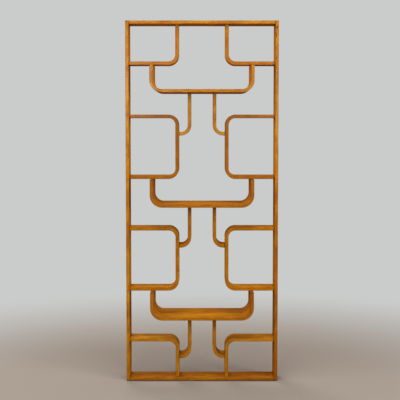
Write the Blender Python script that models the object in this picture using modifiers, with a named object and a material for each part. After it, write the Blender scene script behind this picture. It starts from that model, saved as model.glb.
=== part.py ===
"""Open room divider in bent laminated wood, a little over two metres tall.

A frame of four boards stands on the floor. Eight bent side strips, four on each side, are let into
its uprights: a plain corner at the top, two brackets and a plain corner at the bottom. Three
U-shaped shelves hang under the side strips, and from each shelf two bent stems run down and turn
outwards into the next strips. Nothing moves. Hidden stub tenons and dowels join the pieces.

X is the width, Y the depth with the front at -Y, Z is up, and the origin lies on the floor in the
middle of the frame. Lengths are in metres.
"""

import math

import bmesh
import bpy
from mathutils import Vector

# Size of the frame
HEIGHT = 2.080
WIDTH = 0.876
BOARD_THICK = 0.019
BOARD_DEPTH = 0.150

# Bent side strips
SIDE_THICK = 0.018
SIDE_DEPTH = 0.130
SIDE_BEND = 0.040
SIDE_OPENING = 0.266
UPPER_CORNER_HEIGHT = 0.232
LOWER_CORNER_HEIGHT = 0.231
BRACKET_HEIGHT = 0.370
TOP_BAY_EXTRA = 0.005

# Hanging shelves
SHELF_THICK = 0.019
SHELF_DEPTH = 0.300
SHELF_WIDTH = 0.594
SHELF_DROP = 0.159
SHELF_BEND = 0.052

# Stems under the shelves
STEM_THICK = 0.018
STEM_DEPTH = 0.120
STEM_BEND = 0.040
STEM_SPACING = 0.1425
STEM_FOOT_DROP = 0.120

# Joinery, with one fit for every pair of faces that meet
FIT = 0.0003
DOWEL_RADIUS = 0.004
DOWEL_CHAMFER = 0.0008
END_HOLE_DEPTH = 0.026
FACE_HOLE_SHARE = 0.65
DOWEL_SPACING_SHARE = 0.60
MORTISE_DEPTH_SHARE = 0.50
TENON_THICK_SHARE = 0.50
TENON_WIDTH_SHARE = 0.70
CUT_OVERRUN = 0.005

# Edges are eased by hand, the arrises of the frame a little more than those of the strips
BOARD_EDGE = 0.0020
STRIP_EDGE = 0.0018
EDGE_SEGMENTS = 2
SHARP_ANGLE = math.radians(50)

# Facets of the round forms
SIDE_BEND_STEPS = 8
SHELF_BEND_STEPS = 10
STEM_BEND_STEPS = 8
DOWEL_SIDES = 12

# The tiers from the top down; each bay has a shelf, and each side a strip above and below it
SIDES = {"left": -1, "right": 1}
PAIR = {"front": -1, "back": 1}
SHELF_TIERS = ("upper", "middle", "lower")
BRACKET_TIERS = ("upper", "lower")

# Places that follow from the sizes
RAIL_UNDERSIDE = HEIGHT - BOARD_THICK
FRAME_INNER = WIDTH / 2 - BOARD_THICK
SIDE_LINE = (SIDE_OPENING + SIDE_THICK) / 2
ARM_LINE = (SHELF_WIDTH - SHELF_THICK) / 2
STEM_LINE = STEM_SPACING / 2

# Each wood as the eye sees it, red, green and blue from 0 to 255, and how rough its surface is; the
# dowels are bare and the rest is stained and lacquered
FRAME_WOOD = ((188, 116, 36), 0.38)
SIDE_WOOD = ((186, 114, 32), 0.38)
SHELF_WOOD = ((192, 120, 38), 0.38)
STEM_WOOD = ((184, 112, 30), 0.38)
DOWEL_WOOD = ((214, 180, 132), 0.65)


def clear_scene():
    """Remove every object, so that only the divider is left."""
    for obj in list(bpy.data.objects):
        bpy.data.objects.remove(obj, do_unlink=True)


def new_collection(name):
    """Make a collection in the scene."""
    collection = bpy.data.collections.new(name)
    bpy.context.scene.collection.children.link(collection)
    return collection


def move_to(obj, collection):
    """Keep an object in one collection only."""
    for holder in list(obj.users_collection):
        holder.objects.unlink(obj)
    collection.objects.link(obj)


def linear(level):
    """Turn a screen level from 0 to 255 into the linear value that a shader takes."""
    share = level / 255
    if share <= 0.04045:
        return share / 12.92
    return ((share + 0.055) / 1.055) ** 2.4


def wood_material(name, wood):
    """Make the material of one piece from the tone and the roughness of its wood."""
    tone, roughness = wood
    material = bpy.data.materials.new(name + "_wood")
    material.use_nodes = True
    shader = material.node_tree.nodes["Principled BSDF"]
    shader.inputs["Base Color"].default_value = (*(linear(level) for level in tone), 1)
    shader.inputs["Roughness"].default_value = roughness
    shader.inputs["Metallic"].default_value = 0
    return material


def add_piece(obj, name, wood, parts, root):
    """Name a finished piece, give it its own material and hang it on the root."""
    obj.name = name
    obj.data.name = name
    obj.data.materials.clear()
    obj.data.materials.append(wood_material(name, wood))
    obj.data.shade_smooth()
    obj.data.set_sharp_from_angle(angle=SHARP_ANGLE / 2)
    move_to(obj, parts)
    obj.parent = root
    return obj


def apply_modifiers(obj):
    """Replace an object's mesh by the one that its modifiers make."""
    graph = bpy.context.evaluated_depsgraph_get()
    made = bpy.data.meshes.new_from_object(obj.evaluated_get(graph), depsgraph=graph)
    obj.modifiers.clear()
    obj.data = made


def ease_edges(obj, radius, square_ends=()):
    """Round the sharp edges of a piece, apart from those of the ends that meet another piece."""
    shape = bmesh.new()
    shape.from_mesh(obj.data)
    weights = shape.edges.layers.float.new("bevel_weight_edge")
    kept_square = set()
    for end in square_ends:
        kept_square.add(min(shape.faces, key=lambda face: (face.calc_center_median() - end).length))
    for edge in shape.edges:
        is_sharp = edge.calc_face_angle() > SHARP_ANGLE
        edge[weights] = float(is_sharp and kept_square.isdisjoint(edge.link_faces))
    shape.to_mesh(obj.data)
    shape.free()
    rounding = obj.modifiers.new("eased_edges", "BEVEL")
    rounding.limit_method = "WEIGHT"
    rounding.width = radius
    rounding.segments = EDGE_SEGMENTS


def rounded_path(corners, radius, steps):
    """Points along straight runs, with each right-angled turn between them as an arc."""
    points = [corners[0]]
    for before, corner, after in zip(corners, corners[1:], corners[2:]):
        back = (before - corner).normalized()
        onward = (after - corner).normalized()
        centre = corner + (back + onward) * radius
        for step in range(steps + 1):
            turn = step / steps * math.pi / 2
            points.append(centre - onward * radius * math.cos(turn) - back * radius * math.sin(turn))
    points.append(corners[-1])
    return points


def bent_strip(origin, corners, inner_radius, steps, thick, depth):
    """Bend a flat strip: a ribbon along the middle of its thickness, made solid and eased."""
    path = rounded_path([Vector((x, 0, z)) for x, z in corners], inner_radius + thick / 2, steps)
    to_front = Vector((0, -depth / 2, 0))
    ribbon = bmesh.new()
    front = [ribbon.verts.new(point + to_front) for point in path]
    runs = [ribbon.edges.new(pair) for pair in zip(front, front[1:])]
    grown = bmesh.ops.extrude_edge_only(ribbon, edges=runs)
    back = [item for item in grown["geom"] if isinstance(item, bmesh.types.BMVert)]
    bmesh.ops.translate(ribbon, verts=back, vec=-2 * to_front)
    mesh = bpy.data.meshes.new("strip")
    ribbon.to_mesh(mesh)
    ribbon.free()
    strip = bpy.data.objects.new("strip", mesh)
    bpy.context.scene.collection.objects.link(strip)
    wall = strip.modifiers.new("thickness", "SOLIDIFY")
    wall.thickness = thick
    wall.offset = 0
    wall.use_even_offset = True
    apply_modifiers(strip)
    ease_edges(strip, STRIP_EDGE, (path[0], path[-1]))
    strip.location = origin
    return strip


def sized_cube(centre, size):
    """Add a cube at a place and give its mesh its three lengths."""
    bpy.ops.mesh.primitive_cube_add(size=1, location=centre)
    made = bpy.context.active_object
    made.scale = size
    bpy.ops.object.transform_apply(location=False, rotation=False, scale=True)
    return made


def board(centre, size, square_ends=()):
    """Plane a flat board with eased edges."""
    plank = sized_cube(centre, size)
    ease_edges(plank, BOARD_EDGE, [Vector(end) for end in square_ends])
    return plank


def cut_with(obj, tool, operation="DIFFERENCE"):
    """Cut a piece with a tool, or grow it by one."""
    step = obj.modifiers.new(tool.name, "BOOLEAN")
    step.operation = operation
    step.solver = "EXACT"
    step.object = tool


def hide_tool(tool, name, tools):
    """File a cutter or a joining block away from the parts."""
    tool.name = name
    tool.hide_render = True
    tool.display_type = "WIRE"
    move_to(tool, tools)
    return tool


def block(start, along, length, across, width):
    """A square-edged block that starts at a point and runs along an axis of the X-Z plane."""
    sideways = Vector((along.z, 0, along.x))
    size = [abs(a) * length + abs(s) * across for a, s in zip(along, sideways)]
    return sized_cube(start + along * length / 2, (size[0], width, size[2]))


def rod(start, along, length, radius):
    """A round rod that starts at a point and runs along a direction."""
    turn = Vector((0, 0, 1)).rotation_difference(along).to_euler()
    bpy.ops.mesh.primitive_cylinder_add(
        vertices=DOWEL_SIDES, radius=radius, depth=length, location=start + along * length / 2, rotation=turn
    )
    return bpy.context.active_object


def tenon_joint(name, strip, strip_size, receiver, receiver_thick, seat, along, tools):
    """Grow a stub tenon on a strip's end and cut its mortise in the piece behind the seat."""
    strip_thick, strip_depth = strip_size
    reach = MORTISE_DEPTH_SHARE * receiver_thick
    thick = TENON_THICK_SHARE * strip_thick
    width = TENON_WIDTH_SHARE * strip_depth
    root = seat - along * CUT_OVERRUN
    tenon = block(root, along, CUT_OVERRUN + reach - FIT, thick, width)
    mortise = block(root, along, CUT_OVERRUN + reach, thick + 2 * FIT, width + 2 * FIT)
    cut_with(strip, hide_tool(tenon, name + "_tenon", tools), "UNION")
    cut_with(receiver, hide_tool(mortise, name + "_mortise", tools))


def dowel_pair(name, ended, faced, faced_thick, narrow_depth, seat, along, folders):
    """Join the end of one piece to the face of another with a front and a back dowel."""
    parts, tools, root = folders
    face_depth = FACE_HOLE_SHARE * faced_thick
    for place, way in PAIR.items():
        offset = Vector((0, way * DOWEL_SPACING_SHARE * narrow_depth / 2, 0))
        bottom = seat + offset - along * END_HOLE_DEPTH
        hole = rod(bottom, along, END_HOLE_DEPTH + face_depth, DOWEL_RADIUS + FIT)
        hide_tool(hole, f"{name}_hole_{place}", tools)
        cut_with(ended, hole)
        cut_with(faced, hole)
        pin = rod(bottom + along * FIT, along, END_HOLE_DEPTH + face_depth - 2 * FIT, DOWEL_RADIUS)
        chamfer = pin.modifiers.new("chamfered_ends", "BEVEL")
        chamfer.limit_method = "ANGLE"
        chamfer.angle_limit = SHARP_ANGLE
        chamfer.width = DOWEL_CHAMFER
        chamfer.segments = 1
        add_piece(pin, f"{name}_dowel_{place}", DOWEL_WOOD, parts, root)


def bay_levels():
    """Heights of each bay, from the top down: the underside above it and the top below it."""
    strips = UPPER_CORNER_HEIGHT + LOWER_CORNER_HEIGHT + len(BRACKET_TIERS) * BRACKET_HEIGHT
    clear = (RAIL_UNDERSIDE - BOARD_THICK - strips - TOP_BAY_EXTRA) / len(SHELF_TIERS)
    underside = RAIL_UNDERSIDE - UPPER_CORNER_HEIGHT
    top = underside - clear - TOP_BAY_EXTRA
    levels = [(underside, top)]
    for _ in BRACKET_TIERS:
        underside = top - BRACKET_HEIGHT
        top = underside - clear
        levels.append((underside, top))
    return levels


def make_frame(folders):
    """Two full-height uprights, two rails between them, and the dowels at the four corners."""
    parts, tools, root = folders
    frame = {}
    for side, way in SIDES.items():
        centre = (way * (WIDTH - BOARD_THICK) / 2, 0, HEIGHT / 2)
        upright = board(centre, (BOARD_THICK, BOARD_DEPTH, HEIGHT))
        frame[side] = add_piece(upright, side + "_upright", FRAME_WOOD, parts, root)
    length = 2 * (FRAME_INNER - FIT)
    ends = ((-length / 2, 0, 0), (length / 2, 0, 0))
    for place, level in (("top", HEIGHT - BOARD_THICK / 2), ("bottom", BOARD_THICK / 2)):
        rail = board((0, 0, level), (length, BOARD_DEPTH, BOARD_THICK), ends)
        frame[place] = add_piece(rail, place + "_rail", FRAME_WOOD, parts, root)
        for side, way in SIDES.items():
            seat = Vector((way * FRAME_INNER, 0, level))
            dowel_pair(
                f"{side}_{place}_rail", rail, frame[side], BOARD_THICK, BOARD_DEPTH,
                seat, Vector((way, 0, 0)), folders
            )
    return frame


def let_into_upright(name, strip, upright, way, level, tools):
    """Tenon a side strip's flat run into its upright at the height of its middle."""
    seat = Vector((way * FRAME_INNER, 0, level))
    tenon_joint(
        name, strip, (SIDE_THICK, SIDE_DEPTH), upright, BOARD_THICK, seat, Vector((way, 0, 0)), tools
    )


def plain_corner(side, tier, frame, folders):
    """A strip with one bend, from an upright to the top or the bottom rail."""
    parts, tools, root = folders
    way = SIDES[side]
    upwards = 1 if tier == "upper" else -1
    rail, height, seat_level = ("bottom", LOWER_CORNER_HEIGHT, BOARD_THICK)
    if tier == "upper":
        rail, height, seat_level = ("top", UPPER_CORNER_HEIGHT, RAIL_UNDERSIDE)
    level = seat_level - upwards * (height - SIDE_THICK / 2)
    origin = Vector((way * SIDE_LINE, 0, level))
    reach = way * (FRAME_INNER - FIT - SIDE_LINE)
    leg = upwards * (height - SIDE_THICK / 2 - FIT)
    corners = ((reach, 0), (0, 0), (0, leg))
    strip = bent_strip(origin, corners, SIDE_BEND, SIDE_BEND_STEPS, SIDE_THICK, SIDE_DEPTH)
    name = f"{side}_{tier}_corner"
    add_piece(strip, name, SIDE_WOOD, parts, root)
    let_into_upright(name, strip, frame[side], way, level, tools)
    seat = Vector((way * SIDE_LINE, 0, seat_level))
    dowel_pair(
        name, strip, frame[rail], BOARD_THICK, SIDE_DEPTH, seat, Vector((0, 0, upwards)), folders
    )
    return strip


def bracket(side, tier, top, frame, folders):
    """A strip with two bends, both of whose ends are let into the same upright."""
    parts, tools, root = folders
    way = SIDES[side]
    origin = Vector((way * SIDE_LINE, 0, top))
    reach = way * (FRAME_INNER - FIT - SIDE_LINE)
    upper = -SIDE_THICK / 2
    lower = SIDE_THICK / 2 - BRACKET_HEIGHT
    corners = ((reach, upper), (0, upper), (0, lower), (reach, lower))
    strip = bent_strip(origin, corners, SIDE_BEND, SIDE_BEND_STEPS, SIDE_THICK, SIDE_DEPTH)
    name = f"{side}_{tier}_bracket"
    add_piece(strip, name, SIDE_WOOD, parts, root)
    for run, height in (("top", upper), ("bottom", lower)):
        let_into_upright(f"{name}_{run}", strip, frame[side], way, top + height, tools)
    return strip


def shelf(tier, underside, carriers, folders):
    """A U-shaped shelf whose two arms hang under the side strips of its tier."""
    parts, tools, root = folders
    bottom = SHELF_THICK / 2 - SHELF_DROP
    corners = ((-ARM_LINE, -FIT), (-ARM_LINE, bottom), (ARM_LINE, bottom), (ARM_LINE, -FIT))
    origin = Vector((0, 0, underside))
    strip = bent_strip(origin, corners, SHELF_BEND, SHELF_BEND_STEPS, SHELF_THICK, SHELF_DEPTH)
    add_piece(strip, tier + "_shelf", SHELF_WOOD, parts, root)
    for side, way in SIDES.items():
        seat = Vector((way * ARM_LINE, 0, underside))
        dowel_pair(
            f"{side}_{tier}_shelf", strip, carriers[side], SIDE_THICK, SIDE_DEPTH,
            seat, Vector((0, 0, 1)), folders
        )
    return strip


def stem(side, tier, hung_from, shelf_bottom, receiver, receiver_top, folders):
    """A strip from a shelf's underside down to a bend and outwards into the next side strip."""
    parts, tools, root = folders
    way = SIDES[side]
    foot = receiver_top - STEM_FOOT_DROP + STEM_THICK / 2
    origin = Vector((way * STEM_LINE, 0, foot))
    reach = way * (SIDE_OPENING / 2 - FIT - STEM_LINE)
    corners = ((0, shelf_bottom - FIT - foot), (0, 0), (reach, 0))
    strip = bent_strip(origin, corners, STEM_BEND, STEM_BEND_STEPS, STEM_THICK, STEM_DEPTH)
    name = f"{side}_{tier}_stem"
    add_piece(strip, name, STEM_WOOD, parts, root)
    size = (STEM_THICK, STEM_DEPTH)
    top_seat = Vector((way * STEM_LINE, 0, shelf_bottom))
    foot_seat = Vector((way * SIDE_OPENING / 2, 0, foot))
    up = Vector((0, 0, 1))
    outwards = Vector((way, 0, 0))
    tenon_joint(name + "_top", strip, size, hung_from, SHELF_THICK, top_seat, up, tools)
    tenon_joint(name + "_foot", strip, size, receiver, SIDE_THICK, foot_seat, outwards, tools)


def make_divider():
    """Build the frame, the side strips, and in each bay a shelf with its two stems."""
    clear_scene()
    parts = new_collection("room_divider")
    tools = new_collection("joinery_tools")
    root = bpy.data.objects.new("room_divider_root", None)
    parts.objects.link(root)
    folders = (parts, tools, root)
    frame = make_frame(folders)
    levels = bay_levels()
    strips = {}
    for side in SIDES:
        strips[side] = [plain_corner(side, "upper", frame, folders)]
        for tier, (_, top) in zip(BRACKET_TIERS, levels):
            strips[side].append(bracket(side, tier, top, frame, folders))
        strips[side].append(plain_corner(side, "lower", frame, folders))
    for bay, (tier, (underside, top)) in enumerate(zip(SHELF_TIERS, levels)):
        above = {side: strips[side][bay] for side in SIDES}
        hung = shelf(tier, underside, above, folders)
        for side in SIDES:
            below = strips[side][bay + 1]
            stem(side, tier, hung, underside - SHELF_DROP, below, top, folders)


make_divider()
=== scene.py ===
"""Looks of the open room divider in bent laminated wood.

Every wooden piece is cut again as a straight strip with eased arrises, bent along its route by a
curve, and put in the place of its solid. Each strip keeps its straight measures in an attribute, so
the grain, the veneers and the wear of its arrises follow the bends. Lengths are in metres.
"""

import itertools
import math

import bpy
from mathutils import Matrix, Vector


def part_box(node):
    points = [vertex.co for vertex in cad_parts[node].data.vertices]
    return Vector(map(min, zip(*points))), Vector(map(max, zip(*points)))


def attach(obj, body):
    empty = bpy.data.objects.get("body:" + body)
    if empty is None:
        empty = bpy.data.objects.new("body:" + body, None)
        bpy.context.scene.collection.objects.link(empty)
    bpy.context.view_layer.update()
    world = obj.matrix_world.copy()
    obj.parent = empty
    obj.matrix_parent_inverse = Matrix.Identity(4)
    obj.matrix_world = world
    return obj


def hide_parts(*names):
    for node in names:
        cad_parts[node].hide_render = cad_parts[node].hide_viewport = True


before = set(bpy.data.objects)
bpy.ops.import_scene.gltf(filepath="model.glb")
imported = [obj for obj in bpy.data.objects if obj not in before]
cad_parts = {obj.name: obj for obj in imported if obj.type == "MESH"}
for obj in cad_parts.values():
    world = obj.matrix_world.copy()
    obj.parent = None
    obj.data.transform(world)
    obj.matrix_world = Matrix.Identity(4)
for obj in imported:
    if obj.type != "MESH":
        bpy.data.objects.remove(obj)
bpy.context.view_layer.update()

# Thickness and depth of the stock. The side strips and stems are 2 mm thicker than their solids, as
# the photograph shows them, and grow away from the faces where other pieces meet them
BOARD_THICK = 0.019
BOARD_DEPTH = 0.150
SIDE_THICK = 0.020
SIDE_DEPTH = 0.130
SHELF_THICK = 0.019
SHELF_DEPTH = 0.300
STEM_THICK = 0.020
STEM_DEPTH = 0.120

# Inner radii of the bends, and the gap that is left where an end meets a face
SIDE_BEND = 0.040
SHELF_BEND = 0.052
STEM_BEND = 0.040
FIT = 0.0003

# Glued layers in each bent strip
VENEERS = 10

# Easing of the long arrises and of the rims that meet another piece
BOARD_EASING = 0.0022
STRIP_EASING = 0.0020
RIM_EASING = 0.0004
EASING_STEPS = 3
RIM_STEPS = 2

# Cuts across a strip, so that it can bend
BEND_CUTS = 24
RUN_BETWEEN_CUTS = 0.12
ARC_HANDLE = 0.5522847
CURVE_STEPS = 64
SMOOTH_ANGLE = math.radians(40)

# Each piece starts its grain this much further along, so that no two share their figure
GRAIN_STEP = 5.3

SIDES = {"left": -1, "right": 1}
TIERS = ("upper", "middle", "lower")

# Stained wood from its palest fibres to its darkest lines, red, green and blue from 0 to 255
# Thin stain, also used as the painted highlight where a piece is set paler
THIN_STAIN_AND_PAINTED_HIGHLIGHT = (224, 161, 48)
PALE_WOOD = (211, 141, 18)
MIDDLE_WOOD = (184, 112, 8)
DEEP_WOOD = (138, 71, 3)
DARK_LINE = (88, 38, 3)
WORN_ARRIS = (214, 146, 50)
GLUE_LINE = (96, 44, 6)
END_WOOD = (126, 64, 10)
# Dirt in the joints with painted shade there, and the painted contact shadow at the foot
JOINT_DIRT_AND_PAINTED_SHADE = (48, 22, 5)
KNOT_TONE = (74, 30, 4)

# Bare wood of the hidden dowels
RAW_WOOD = (214, 180, 132)
RAW_CLOUD = (196, 156, 104)
RAW_FIBRE = (164, 120, 72)

# How much deeper, or if below 0 paler, a piece is coloured than the rest: one depth for all of it,
# or several that are set out evenly from its start to its end. Partly this is the stain each piece
# took unevenly and partly painted light: paler high up, where it paints the highlight band near the
# heads of the uprights and on the upper stems, and deeper low down, where it paints shade towards
# the floor
PIECE_STAIN_AND_PAINTED_LIGHT = {
    "left_upright": (0.36, -0.16, -0.06, -0.44, 0.04),
    "right_upright": (0.82, 0.42, 0.06, -0.66, 0.22),
    "top_rail": (-0.38, -0.30),
    "bottom_rail": (0.45, 0.38, 0.66),
    "left_upper_bracket": (0.42,),
    "right_upper_bracket": (0.48,),
    "left_lower_corner": (-0.32,),
    "right_lower_corner": (-0.18,),
    "upper_shelf": (-0.42, -0.05, -0.22),
    "middle_shelf": (0.50, 0.25, 0.50),
    "lower_shelf": (0.34, 0.10, 0.66),
    "left_upper_stem": (-0.90,),
    "right_upper_stem": (-0.60,),
    "left_middle_stem": (0.05,),
    "right_middle_stem": (0.05,),
    "left_lower_stem": (-0.12,),
    "right_lower_stem": (-0.25,),
}
EVEN_STAIN = (0,)

# Figures of the wood: changes per metre along and across the grain, and the detail and roughness of
# the noise
FIGURES = {
    "drift": (2.2, 11, 2.0, 0.5),
    "warp": (1.7, 7, 1.0, 0.5),
    "mottle": (16, 34, 2.0, 0.5),
    "streak": (7, 95, 3.0, 0.6),
    "fibre": (60, 1500, 2.0, 0.6),
    "fleck": (330, 1500, 0.0, 0.5),
    "pore": (90, 2600, 0.0, 0.5),
    "patches": (24, 40, 3.0, 0.6),
    "cloud": (9, 26, 3.0, 0.6),
    "orange_peel": (420, 420, 1.0, 0.5),
}

# Where a figure sets in and where it is full, on a noise from about 0.25 to 0.75
DRIFT_BAND = (0.30, 0.70)
MOTTLE_BAND = (0.36, 0.68)
STREAK_BAND = (0.46, 0.78)
FIBRE_BAND = (0.50, 0.85)
FLECK_BAND = (0.66, 0.74)
PORE_BAND = (0.66, 0.76)

# How far the figure moves from one glued layer to the next, and through a layer or a solid board
LEAF_STEP = 3.7
LEAF_RATE = 4
SOLID_RATE = 26
DRIFT_STEP = 0.6
WARP_STEP = 0.5

# Growth rings across each metre, how they move and waver, and the dark late wood of each ring
RINGS = 62
RING_STEP = 0.9
RING_WARP = 9
LATE_WOOD_START = (0.55, 0.93)
LATE_WOOD_END = (0.93, 1.0)

# What each mark brings to the colour, in the order in which the marks lie: its tone and its share
MARKS = {
    "mottle": (DEEP_WOOD, 0.42),
    "streak": (DEEP_WOOD, 0.75),
    "late_wood": (DEEP_WOOD, 0.42),
    "fibre": (DEEP_WOOD, 0.35),
    "fleck": (DARK_LINE, 0.50),
    "pore": (DARK_LINE, 0.45),
    "knot": (KNOT_TONE, 0.85),
    "arris": (DEEP_WOOD, 0.60),
    "glue": (GLUE_LINE, 0.55),
    "end_face": (END_WOOD, 0.70),
    "rubbed": (WORN_ARRIS, 0.50),
    # Dirt and painted shade in the joints
    "dirt": (JOINT_DIRT_AND_PAINTED_SHADE, 0.60),
    "scuff": (DARK_LINE, 0.35),
    # A painted contact shadow at the foot
    "foot": (JOINT_DIRT_AND_PAINTED_SHADE, 0.85),
}

# Knots at the head of the right-hand upright, near its front edge: the place on the straight strip,
# half the length and half the width of each. It's the second piece, so its grain starts one step on
UPRIGHT_KNOTS = (
    ((GRAIN_STEP + 2.042, 0.0000, 0.075), 0.0110, 0.0060),
    ((GRAIN_STEP + 2.000, 0.0040, 0.075), 0.0220, 0.0032),
    ((GRAIN_STEP + 1.866, 0.0040, 0.075), 0.0090, 0.0034),
)
KNOT_DEPTH = 0.014
KNOT_RAGGED = (160, 420, 160)
KNOT_RAGGEDNESS = 2.4
KNOT_REACH = (1.0, 2.6)

# How far marks reach from an arris, a glue line or an end, where they are full and where they stop
ARRIS_REACH = (0.0012, 0.0038)
RUBBED_REACH = (0.0002, 0.0018)
GLUE_WIDTH = (0.00004, 0.00018)
GLUE_FROM_FACE = (0.0003, 0.0007)
GLUE_REACH = (0.0010, 0.0022)
END_REACH = (0.0002, 0.0007)
DIRT_AND_SHADE_REACH = (0.0006, 0.0065)

# How high above the floor the scuffs and the painted contact shadow at the foot reach
SCUFF_HEIGHT = (0.01, 0.16)
PAINTED_FOOT_SHADOW_HEIGHT = (0.0030, 0.0078)

# Where in the patches of wear a mark sets in and is full, and what is left of it between them
ARRIS_PATCHES = (0.35, 0.65)
ARRIS_FADING = 0.7
RUBBED_PATCHES = (0.46, 0.66)
DIRT_AND_SHADE_PATCHES = (0.30, 0.60)
DIRT_AND_SHADE_LEAST = 0.4
SCUFF_PATCHES = (0.52, 0.68)

# Roughness of the lacquered wood, and what clouds, flecks and wear add to it
LACQUER_ROUGH = 0.74
ROUGH_CLOUDS = (0.30, 0.70)
CLOUD_ROUGH = 0.12
FLECK_ROUGH = 0.08
WORN_ROUGH = 0.20
RUBBED_ROUGH = 0.12

# Clear coat of the lacquer, and what clouds, scuffs and dirt take from it
LACQUER_COAT = 0.030
COAT_CLOUDS = (0.35, 0.75)
CLOUD_COAT = 0.009
SCUFF_COAT = 0.007
DIRT_COAT = 0.012
COAT_ROUGH = 0.24
COAT_IOR = 3.0
LACQUER_IOR = 1.5

# Relief of the lacquered surface: its depth, and the part of each figure in it
RELIEF_DEPTH = 0.00012
FIBRE_RELIEF = 0.30
PORE_RELIEF = 0.45
FLECK_RELIEF = 0.15
PEEL_RELIEF = 0.5
GLUE_RELIEF = 0.8

# Bare wood: changes per metre, where its figures set in and are full, and its surface
RAW_FIBRE_RATE = 900
RAW_CLOUD_RATE = 60
RAW_CLOUD_BAND = (0.30, 0.70)
RAW_FIBRE_BAND = (0.50, 0.80)
RAW_FIBRE_SHARE = 0.5
RAW_ROUGH = 0.62
RAW_FIBRE_ROUGH = 0.2
RAW_RELIEF_DEPTH = 0.0001

# Studio: the pale surroundings, the floor as it is seen and as it lights the wood, and how far out
# from the middle it fades into the surroundings
WALL_TONE = (202, 204, 203)
FLOOR_TONE = (152, 141, 131)
FLOOR_IN_SHADE = (120, 112, 104)
FLOOR_RADIUS = 30
FLOOR_SIDES = 96
FLOOR_FADE = (0.9, 3.2)
SOFT_LIGHT = 0.54
WHITE = (1, 1, 1, 1)

# Lamps: place, point that they face, width and height, and power in watts
LAMPS = {
    "key_light": ((3.6, -2.9, 2.3), (0, 0, 1.4), (1.6, 1.4), 84),
    "left_light": ((-0.92, -5.6, 1.98), (0, 0, 1.4), (0.8, 0.5), 38),
    "right_light": ((0.92, -5.6, 1.80), (0, 0, 1.4), (0.8, 0.6), 20),
    "top_light": ((0.0, -1.2, 4.5), (0, 0, 0.8), (1.4, 1.0), 60),
    "side_light": ((-4.0, -1.8, 2.4), (0, 0, 1.2), (1.6, 1.6), 56),
    "back_light": ((-1.6, 4.4, 3.8), (0, 0, 1.0), (2.4, 2.0), 135),
}

# Camera at the height of the photograph's horizon, tilted down a little
CAMERA_PLACE = (0, -5.825, 1.481)
CAMERA_TILT = math.radians(3.68)
CAMERA_SENSOR = 36
CAMERA_LENS = 90.2
CAMERA_SHIFT = (-0.005, -0.024)


def linear(tone):
    """Turn red, green and blue from 0 to 255 into the linear colour that a shader takes."""
    shares = [level / 255 for level in tone]
    return (*(s / 12.92 if s <= 0.04045 else ((s + 0.055) / 1.055) ** 2.4 for s in shares), 1)


# Shader sums

# Numbers of a Mix node's sockets for colours, which share their names with its other sockets
MIX_FIRST = 6
MIX_SECOND = 7
MIX_RESULT = 2


class Value:
    """A shader socket that can be used in sums; each operation adds its Math node."""

    def __init__(self, finish, socket):
        self.finish = finish
        self.socket = socket

    def math(self, operation, *terms):
        """Add a Math node on the given terms."""
        return self.finish.node("ShaderNodeMath", {"operation": operation}, dict(enumerate(terms)))

    def output(self, name):
        """Another output of the same node, by its name or number."""
        return Value(self.finish, self.socket.node.outputs[name])

    def __add__(self, other):
        return self.math("ADD", self, other)

    def __radd__(self, other):
        return self.math("ADD", other, self)

    def __sub__(self, other):
        return self.math("SUBTRACT", self, other)

    def __rsub__(self, other):
        return self.math("SUBTRACT", other, self)

    def __mul__(self, other):
        return self.math("MULTIPLY", self, other)

    def __rmul__(self, other):
        return self.math("MULTIPLY", other, self)

    def __truediv__(self, other):
        return self.math("DIVIDE", self, other)

    def __rtruediv__(self, other):
        return self.math("DIVIDE", other, self)

    def __abs__(self):
        return self.math("ABSOLUTE", self)

    def floor(self):
        """The whole number below."""
        return self.math("FLOOR", self)

    def fraction(self):
        """What is left above the whole number below."""
        return self.math("FRACT", self)

    def root(self):
        """The square root."""
        return self.math("SQRT", self)

    def least(self, other):
        """The smaller of two values."""
        return self.math("MINIMUM", self, other)

    def rise(self, low, high):
        """Go smoothly from 0 at one value to 1 at another."""
        sockets = {"Value": self, "From Min": low, "From Max": high}
        return self.finish.node("ShaderNodeMapRange", {"interpolation_type": "SMOOTHSTEP"}, sockets)


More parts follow.
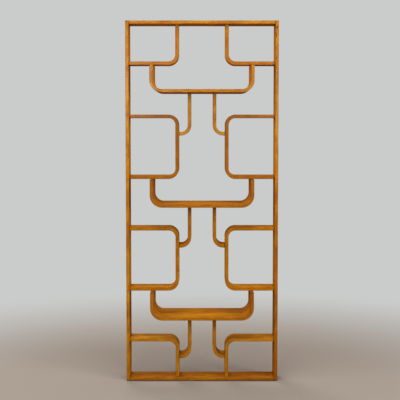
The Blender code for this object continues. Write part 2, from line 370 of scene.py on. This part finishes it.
class Finish:
    """The nodes of one material, or of the world."""

    def __init__(self, owner):
        owner.use_nodes = True
        self.owner = owner
        self.tree = owner.node_tree
        self.tree.nodes.clear()

    def node(self, kind, settings=None, sockets=None):
        """Add a node, set it up, fill its sockets and return its first output."""
        made = self.tree.nodes.new(kind)
        for name, setting in (settings or {}).items():
            setattr(made, name, setting)
        for name, value in (sockets or {}).items():
            if isinstance(value, Value):
                self.tree.links.new(value.socket, made.inputs[name])
            else:
                made.inputs[name].default_value = value
        return Value(self, made.outputs[0]) if made.outputs else made

    def attribute(self, name):
        """A vector that is stored on the mesh."""
        return self.node("ShaderNodeAttribute", {"attribute_name": name}).output("Vector")

    def split(self, vector):
        """The three parts of a vector."""
        first = self.node("ShaderNodeSeparateXYZ", None, {0: vector})
        return first, first.output("Y"), first.output("Z")

    def join(self, x, y, z):
        """A vector from three parts."""
        return self.node("ShaderNodeCombineXYZ", None, {0: x, 1: y, 2: z})

    def noise(self, vector, detail=2.0, roughness=0.5):
        """Noise from about 0.25 to 0.75 that changes once in each unit of the vector."""
        sockets = {"Vector": vector, "Scale": 1.0, "Detail": detail, "Roughness": roughness}
        return self.node("ShaderNodeTexNoise", None, sockets)

    def mix(self, factor, first, second):
        """Go from one colour to another."""
        sockets = {"Factor": factor, MIX_FIRST: first, MIX_SECOND: second}
        settings = {"data_type": "RGBA", "clamp_factor": True}
        return self.node("ShaderNodeMix", settings, sockets).output(MIX_RESULT)

    def bump(self, height, distance):
        """Tilt the surface by a height field of a given depth."""
        sockets = {"Height": height, "Distance": distance, "Strength": 1.0}
        return self.node("ShaderNodeBump", None, sockets)

    def seen(self):
        """1 for rays of the camera, of reflections and of glass, and 0 for rays of light."""
        rays = self.node("ShaderNodeLightPath")
        return rays + rays.output("Is Glossy Ray") + rays.output("Is Transmission Ray")

    def surface(self, shader):
        """Give the material its surface."""
        self.node("ShaderNodeOutputMaterial", None, {"Surface": shader})
        return self.owner


def knot_marks(wood, along, through, across, knots):
    """Small dark knots, each given by its place, half its length and half its width."""
    ways = zip((along, through, across), KNOT_RAGGED)
    ragged = wood.noise(wood.join(*(way * rate for way, rate in ways))) * KNOT_RAGGEDNESS
    marks = None
    for (knot_along, knot_through, knot_across), half_length, half_width in knots:
        lengthwise = (along - knot_along) / half_length
        sideways = (through - knot_through) / half_width
        inwards = (across - knot_across) / KNOT_DEPTH
        spread = lengthwise * lengthwise + sideways * sideways + inwards * inwards + ragged
        mark = 1 - spread.rise(*KNOT_REACH)
        marks = marks + mark if marks else mark
    return marks


def glue_marks(through, inside, inset, thick, veneer):
    """Lines between the glued layers on the edges of a strip, clear of its arrises."""
    share = ((through + thick / 2) / veneer).fraction()
    from_line = (0.5 - abs(share - 0.5)) * veneer
    line = (1 - from_line.rise(*GLUE_WIDTH)) * inside.rise(*GLUE_FROM_FACE)
    return line * (1 - inset.rise(*GLUE_REACH))


def wood_finish(name, thick, depth, veneer=None, knots=()):
    """Stained, lacquered wood with its figure along the strip, in layers if a veneer is given."""
    wood = Finish(bpy.data.materials.new(name))
    along, through, across = wood.split(wood.attribute("grain"))
    from_start, from_end, stain_and_light = wood.split(wood.attribute("ends"))
    height = wood.split(wood.node("ShaderNodeTexCoord").output("Object"))[2]

    def figure(kind, deep=None):
        """A figure of the wood, with its third way through the thickness unless one is given."""
        along_rate, across_rate, detail, roughness = FIGURES[kind]
        third = through * across_rate if deep is None else deep
        place = wood.join(along * along_rate, across * across_rate, third)
        return wood.noise(place, detail, roughness)

    # Where on the section a point lies, and in which sheet of veneer, which moves the slow figures
    inside = thick / 2 - abs(through)
    inset = depth / 2 - abs(across)
    to_end = from_start.least(from_end)
    if veneer:
        leaf = ((through + thick / 2) / veneer).floor()
        sheet = leaf * LEAF_STEP + through * LEAF_RATE
    else:
        sheet = through * SOLID_RATE

    # Figure, from the slow drift of the tone down to the single fibre
    drift = figure("drift", sheet * DRIFT_STEP)
    warp = figure("warp", sheet * WARP_STEP)
    ring = (across * RINGS + sheet * RING_STEP + warp * RING_WARP).fraction()
    fibre = figure("fibre")
    fleck = figure("fleck").rise(*FLECK_BAND)
    pore = figure("pore").rise(*PORE_BAND)
    marks = {
        "mottle": figure("mottle").rise(*MOTTLE_BAND),
        "streak": figure("streak", sheet).rise(*STREAK_BAND),
        "late_wood": ring.rise(*LATE_WOOD_START) * (1 - ring.rise(*LATE_WOOD_END)),
        "fibre": fibre.rise(*FIBRE_BAND),
        "fleck": fleck,
        "pore": pore,
    }
    if knots:
        marks["knot"] = knot_marks(wood, along, through, across, knots)

    # Arrises stained deeper and rubbed paler in places, glue lines on the edges, stain that sank
    # into the ends, dirt and painted shade in the joints, scuffs and a painted contact shadow at
    # the foot
    patches = figure("patches")
    arris = (1 - inside.rise(*ARRIS_REACH)) * (1 - inset.rise(*ARRIS_REACH))
    marks["arris"] = arris * (1 - patches.rise(*ARRIS_PATCHES) * ARRIS_FADING)
    if veneer:
        marks["glue"] = glue_marks(through, inside, inset, thick, veneer)
    end_face = 1 - to_end.rise(*END_REACH)
    rubbed = (1 - inside.rise(*RUBBED_REACH)) * (1 - inset.rise(*RUBBED_REACH))
    rubbed = rubbed * patches.rise(*RUBBED_PATCHES)
    # Darker near the ends where a strip meets another piece: dirt in the joints, and painted shade
    # there
    dirt = 1 - to_end.rise(*DIRT_AND_SHADE_REACH)
    dirt = dirt * (DIRT_AND_SHADE_LEAST + patches.rise(*DIRT_AND_SHADE_PATCHES) * (1 - DIRT_AND_SHADE_LEAST)) * (1 - end_face)
    scuff = (1 - height.rise(*SCUFF_HEIGHT)) * patches.rise(*SCUFF_PATCHES)
    marks.update(end_face=end_face, rubbed=rubbed, dirt=dirt, scuff=scuff)
    # Painted contact shadow: a dark line along the foot, darkest at the floor
    marks["foot"] = 1 - height.rise(*PAINTED_FOOT_SHADOW_HEIGHT)

    colour = wood.mix(drift.rise(*DRIFT_BAND), linear(MIDDLE_WOOD), linear(PALE_WOOD))
    # Deeper where a piece took more stain and where shade is painted low down, paler where it took
    # less and where a highlight is painted high up
    colour = wood.mix(stain_and_light, colour, linear(DEEP_WOOD))
    colour = wood.mix(0 - stain_and_light, colour, linear(THIN_STAIN_AND_PAINTED_HIGHLIGHT))
    for kind, mark in marks.items():
        tone, share = MARKS[kind]
        colour = wood.mix(mark * share, colour, linear(tone))

    # Satin lacquer, thinner and duller in clouds and where the wood is worn or dirty
    cloud = figure("cloud")
    peel = figure("orange_peel")
    rough = LACQUER_ROUGH + cloud.rise(*ROUGH_CLOUDS) * CLOUD_ROUGH + fleck * FLECK_ROUGH
    rough = rough + scuff * WORN_ROUGH + dirt * WORN_ROUGH + rubbed * RUBBED_ROUGH
    coat = LACQUER_COAT - cloud.rise(*COAT_CLOUDS) * CLOUD_COAT
    coat = coat - scuff * SCUFF_COAT - dirt * DIRT_COAT
    relief = fibre * FIBRE_RELIEF - pore * PORE_RELIEF - fleck * FLECK_RELIEF + peel * PEEL_RELIEF
    if veneer:
        relief = relief - marks["glue"] * GLUE_RELIEF
    sockets = {
        "Base Color": colour,
        "Roughness": rough,
        "IOR": LACQUER_IOR,
        "Specular IOR Level": 0.0,
        "Coat Weight": coat,
        "Coat Roughness": COAT_ROUGH,
        "Coat IOR": COAT_IOR,
        "Normal": wood.bump(relief, RELIEF_DEPTH),
    }
    return wood.surface(wood.node("ShaderNodeBsdfPrincipled", None, sockets))


def raw_finish(name):
    """Bare turned wood of the hidden dowels."""
    wood = Finish(bpy.data.materials.new(name))
    ways = wood.split(wood.node("ShaderNodeTexCoord").output("Object"))
    fibre = wood.noise(wood.join(*(way * RAW_FIBRE_RATE for way in ways)), 3.0, 0.6)
    cloud = wood.noise(wood.join(*(way * RAW_CLOUD_RATE for way in ways)))
    colour = wood.mix(cloud.rise(*RAW_CLOUD_BAND), linear(RAW_WOOD), linear(RAW_CLOUD))
    colour = wood.mix(fibre.rise(*RAW_FIBRE_BAND) * RAW_FIBRE_SHARE, colour, linear(RAW_FIBRE))
    sockets = {
        "Base Color": colour,
        "Roughness": RAW_ROUGH + fibre * RAW_FIBRE_ROUGH,
        "Normal": wood.bump(fibre, RAW_RELIEF_DEPTH),
    }
    return wood.surface(wood.node("ShaderNodeBsdfPrincipled", None, sockets))


# Modelling


def deselect():
    """Leave nothing selected, in object mode."""
    bpy.ops.object.select_all(action="DESELECT")


def select_edges(mesh, wanted):
    """Select the edges whose two ends both pass a test, and nothing else; works in edit mode."""
    bpy.ops.mesh.select_mode(type="EDGE")
    bpy.ops.mesh.select_all(action="DESELECT")
    bpy.ops.object.mode_set(mode="OBJECT")
    for edge in mesh.edges:
        ends = [mesh.vertices[index].co for index in edge.vertices]
        edge.select = wanted(*ends)
    bpy.ops.object.mode_set(mode="EDIT")


def set_out(corners, radius):
    """Points of a route with their directions, and the length and handle of each run and bend."""
    corners = [Vector(corner) for corner in corners]
    onward = (corners[1] - corners[0]).normalized()
    points = [(corners[0], onward)]
    for corner, after in zip(corners[1:], corners[2:]):
        points.append((corner - onward * radius, onward))
        onward = (after - corner).normalized()
        points.append((corner + onward * radius, onward))
    points.append((corners[-1], onward))
    parts = []
    for index, (start, end) in enumerate(zip(points, points[1:])):
        length = (end[0] - start[0]).length
        if index % 2:
            parts.append((radius * math.pi / 2, radius * ARC_HANDLE, BEND_CUTS))
        else:
            parts.append((length, length / 3, math.ceil(length / RUN_BETWEEN_CUTS)))
    return points, parts


def straight_strip(length, thick, depth, easing, free_ends):
    """Saw a straight strip along X, thick in Y and deep in Z, and ease its arrises."""
    deselect()
    bpy.ops.mesh.primitive_cube_add(size=1, location=(length / 2, 0, 0))
    strip = bpy.context.active_object
    strip.scale = (length, thick, depth)
    bpy.ops.object.transform_apply(location=True, rotation=False, scale=True)
    bpy.ops.object.mode_set(mode="EDIT")
    if free_ends:
        bpy.ops.mesh.select_all(action="SELECT")
    else:
        select_edges(strip.data, lambda a, b: abs(a.x - b.x) > length / 2)
    bpy.ops.mesh.bevel(offset=easing, segments=EASING_STEPS, affect="EDGES")
    if not free_ends:
        near = RIM_EASING / 2
        select_edges(
            strip.data,
            lambda a, b: max(a.x, b.x) < near or min(a.x, b.x) > length - near,
        )
        bpy.ops.mesh.bevel(offset=RIM_EASING, segments=RIM_STEPS, affect="EDGES")
    bpy.ops.object.mode_set(mode="OBJECT")
    return strip


def cut_across(strip, parts):
    """Cut a strip across where its runs and bends are divided."""
    bpy.ops.object.mode_set(mode="EDIT")
    place = 0
    for length, _, cuts in parts:
        for step in range(cuts):
            if place or step:
                along = place + length * step / cuts
                bpy.ops.mesh.select_all(action="SELECT")
                bpy.ops.mesh.bisect(plane_co=(along, 0, 0), plane_no=(1, 0, 0))
        place += length
    bpy.ops.object.mode_set(mode="OBJECT")


def stain_and_light_at(depths, share):
    """The depth of stain and painted light at a share of a piece's length, between those set out
    evenly along it.
    """
    if len(depths) == 1:
        return depths[0]
    place = share * (len(depths) - 1)
    before = min(int(place), len(depths) - 2)
    return depths[before] + (depths[before + 1] - depths[before]) * (place - before)


def keep_measures(strip, length, shift, depths):
    """Store each point's place on the straight strip, its ways to both ends, and its depth of stain
    and painted light.
    """
    grain = strip.data.attributes.new("grain", "FLOAT_VECTOR", "POINT")
    ends = strip.data.attributes.new("ends", "FLOAT_VECTOR", "POINT")
    for vertex in strip.data.vertices:
        along, through, across = vertex.co
        grain.data[vertex.index].vector = (along + shift, through, across)
        ends.data[vertex.index].vector = (along, length - along, stain_and_light_at(depths, along / length))


def bend(strip, points, parts):
    """Bend a straight strip along its route with a curve, and stand it up in the X-Z plane."""
    bpy.ops.curve.primitive_bezier_curve_add()
    route = bpy.context.active_object
    route.data.dimensions = "2D"
    route.data.resolution_u = CURVE_STEPS
    knots = route.data.splines[0].bezier_points
    knots.add(len(points) - len(knots))
    before = [parts[0][1]] + [handle for _, handle, _ in parts]
    after = [handle for _, handle, _ in parts] + [parts[-1][1]]
    for knot, (place, onward), back, ahead in zip(knots, points, before, after):
        knot.handle_left_type = knot.handle_right_type = "FREE"
        knot.co = (*place, 0)
        knot.handle_left = (*(place - onward * back), 0)
        knot.handle_right = (*(place + onward * ahead), 0)
    deselect()
    strip.select_set(True)
    bpy.context.view_layer.objects.active = strip
    follow = strip.modifiers.new("follow_route", "CURVE")
    follow.object = route
    follow.deform_axis = "POS_X"
    bpy.ops.object.modifier_apply(modifier=follow.name)
    bpy.data.objects.remove(route)
    strip.rotation_euler = (math.pi / 2, 0, 0)
    bpy.ops.object.transform_apply(location=False, rotation=True, scale=False)


def smooth(piece):
    """Shade the arrises round and keep the broad faces flat."""
    deselect()
    piece.select_set(True)
    bpy.context.view_layer.objects.active = piece
    bpy.ops.object.shade_smooth_by_angle(angle=SMOOTH_ANGLE)
    even = piece.modifiers.new("flat_faces", "WEIGHTED_NORMAL")
    even.keep_sharp = True
    bpy.ops.object.modifier_apply(modifier=even.name)


piece_numbers = itertools.count()


def wooden_piece(node, corners, section, material, inner_radius=0.0, free_ends=False):
    """Make one piece along its route and put it in the place of its solid."""
    thick, depth, easing = section
    points, parts = set_out(corners, inner_radius + thick / 2)
    length = sum(part[0] for part in parts)
    piece = straight_strip(length, thick, depth, easing, free_ends)
    cut_across(piece, parts)
    shift = GRAIN_STEP * next(piece_numbers)
    keep_measures(piece, length, shift, PIECE_STAIN_AND_PAINTED_LIGHT.get(node, EVEN_STAIN))
    bend(piece, points, parts)
    smooth(piece)
    piece.name = piece.data.name = node + "_wood"
    piece.data.materials.append(material)
    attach(piece, "root")
    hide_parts(node)


BOARD = (BOARD_THICK, BOARD_DEPTH, BOARD_EASING)
SIDE_STRIP = (SIDE_THICK, SIDE_DEPTH, STRIP_EASING)
SHELF = (SHELF_THICK, SHELF_DEPTH, STRIP_EASING)
STEM = (STEM_THICK, STEM_DEPTH, STRIP_EASING)

frame_wood = wood_finish("frame_wood", BOARD_THICK, BOARD_DEPTH, knots=UPRIGHT_KNOTS)
side_wood = wood_finish("side_wood", SIDE_THICK, SIDE_DEPTH, SIDE_THICK / VENEERS)
shelf_wood = wood_finish("shelf_wood", SHELF_THICK, SHELF_DEPTH, SHELF_THICK / VENEERS)
stem_wood = wood_finish("stem_wood", STEM_THICK, STEM_DEPTH, STEM_THICK / VENEERS)

# Frame of two uprights and two rails
for side in SIDES:
    low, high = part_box(f"{side}_upright")
    line = (low.x + high.x) / 2
    corners = ((line, low.z), (line, high.z))
    wooden_piece(f"{side}_upright", corners, BOARD, frame_wood, free_ends=True)
for place in ("top", "bottom"):
    low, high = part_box(f"{place}_rail")
    level = (low.z + high.z) / 2
    corners = ((low.x, level), (high.x, level))
    wooden_piece(f"{place}_rail", corners, BOARD, frame_wood)

frame_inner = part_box("right_upright")[0].x - FIT

# Side strips, set out for the right side and mirrored for the left
for side, way in SIDES.items():
    for tier in ("upper", "lower"):
        low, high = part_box(f"right_{tier}_corner")
        line = low.x + SIDE_THICK / 2
        if tier == "upper":
            run, leg_end = low.z + SIDE_THICK / 2, high.z
        else:
            run, leg_end = high.z - SIDE_THICK / 2, low.z
        corners = ((way * frame_inner, run), (way * line, run), (way * line, leg_end))
        wooden_piece(
            f"{side}_{tier}_corner", corners, SIDE_STRIP, side_wood, SIDE_BEND
        )
        low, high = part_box(f"right_{tier}_bracket")
        top, bottom = high.z - SIDE_THICK / 2, low.z + SIDE_THICK / 2
        corners = (
            (way * frame_inner, top),
            (way * line, top),
            (way * line, bottom),
            (way * frame_inner, bottom),
        )
        wooden_piece(
            f"{side}_{tier}_bracket", corners, SIDE_STRIP, side_wood, SIDE_BEND
        )

# Shelves and the stems under them
side_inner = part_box("right_upper_bracket")[0].x - FIT
for tier in TIERS:
    low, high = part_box(f"{tier}_shelf")
    left, right = low.x + SHELF_THICK / 2, high.x - SHELF_THICK / 2
    level = low.z + SHELF_THICK / 2
    corners = ((left, high.z), (left, level), (right, level), (right, high.z))
    wooden_piece(f"{tier}_shelf", corners, SHELF, shelf_wood, SHELF_BEND)
    under_shelf = low.z - FIT
    low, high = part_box(f"right_{tier}_stem")
    line = low.x + STEM_THICK / 2
    foot = low.z + STEM_THICK / 2
    for side, way in SIDES.items():
        corners = ((way * line, under_shelf), (way * line, foot), (way * side_inner, foot))
        wooden_piece(f"{side}_{tier}_stem", corners, STEM, stem_wood, STEM_BEND)

# Hidden dowels keep their solids
dowel_wood = raw_finish("dowel_wood")
for name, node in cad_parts.items():
    if "_dowel_" in name:
        node.data.materials.clear()
        node.data.materials.append(dowel_wood)


# Studio


def floor_finish():
    """Pale matt floor that fades into the background further out, clear from below."""
    ground = Finish(bpy.data.materials.new("studio_floor"))
    x, y, _ = ground.split(ground.node("ShaderNodeTexCoord").output("Object"))
    faded = (x * x + y * y).root().rise(*FLOOR_FADE)
    seen = ground.seen()
    tone = ground.mix(seen, linear(FLOOR_IN_SHADE), linear(FLOOR_TONE))
    matt = ground.node("ShaderNodeBsdfDiffuse", None, {"Color": tone})
    glow = ground.node("ShaderNodeEmission", None, {"Color": linear(WALL_TONE), "Strength": 1.0})
    clear = ground.node("ShaderNodeBsdfTransparent")
    above = ground.node("ShaderNodeMixShader", None, {0: faded * seen, 1: matt, 2: glow})
    behind = ground.node("ShaderNodeNewGeometry").output("Backfacing")
    return ground.surface(ground.node("ShaderNodeMixShader", None, {0: behind, 1: above, 2: clear}))


def softbox(name, place, target, size, power):
    """Hang an area light that faces a target."""
    bpy.ops.object.light_add(type="AREA", location=place)
    lamp = bpy.context.active_object
    lamp.name = name
    lamp.data.shape = "RECTANGLE"
    lamp.data.size, lamp.data.size_y = size
    lamp.data.energy = power
    lamp.rotation_euler = (Vector(target) - Vector(place)).to_track_quat("-Z", "Y").to_euler()


deselect()
bpy.ops.mesh.primitive_circle_add(
    vertices=FLOOR_SIDES, radius=FLOOR_RADIUS, fill_type="NGON", location=(0, 0, 0)
)
studio_floor = bpy.context.active_object
studio_floor.name = "studio_floor"
studio_floor.data.materials.append(floor_finish())

for name, (place, target, size, power) in LAMPS.items():
    softbox(name, place, target, size, power)

# Pale surroundings, with an even soft light for what they don't show
world = bpy.data.worlds.new("studio")
bpy.context.scene.world = world
around = Finish(world)
wall = around.node("ShaderNodeBackground", None, {"Color": linear(WALL_TONE), "Strength": 1.0})
soft = around.node("ShaderNodeBackground", None, {"Color": WHITE, "Strength": SOFT_LIGHT})
either = around.node("ShaderNodeMixShader", None, {0: around.seen(), 1: soft, 2: wall})
around.node("ShaderNodeOutputWorld", None, {"Surface": either})

bpy.ops.object.camera_add(location=CAMERA_PLACE)
camera = bpy.context.active_object
camera.name = "camera"
camera.rotation_euler = (math.pi / 2 - CAMERA_TILT, 0, 0)
camera.data.sensor_width = CAMERA_SENSOR
camera.data.lens = CAMERA_LENS
camera.data.shift_x, camera.data.shift_y = CAMERA_SHIFT
bpy.context.scene.camera = camera
bpy.context.scene.view_settings.view_transform = "Standard"
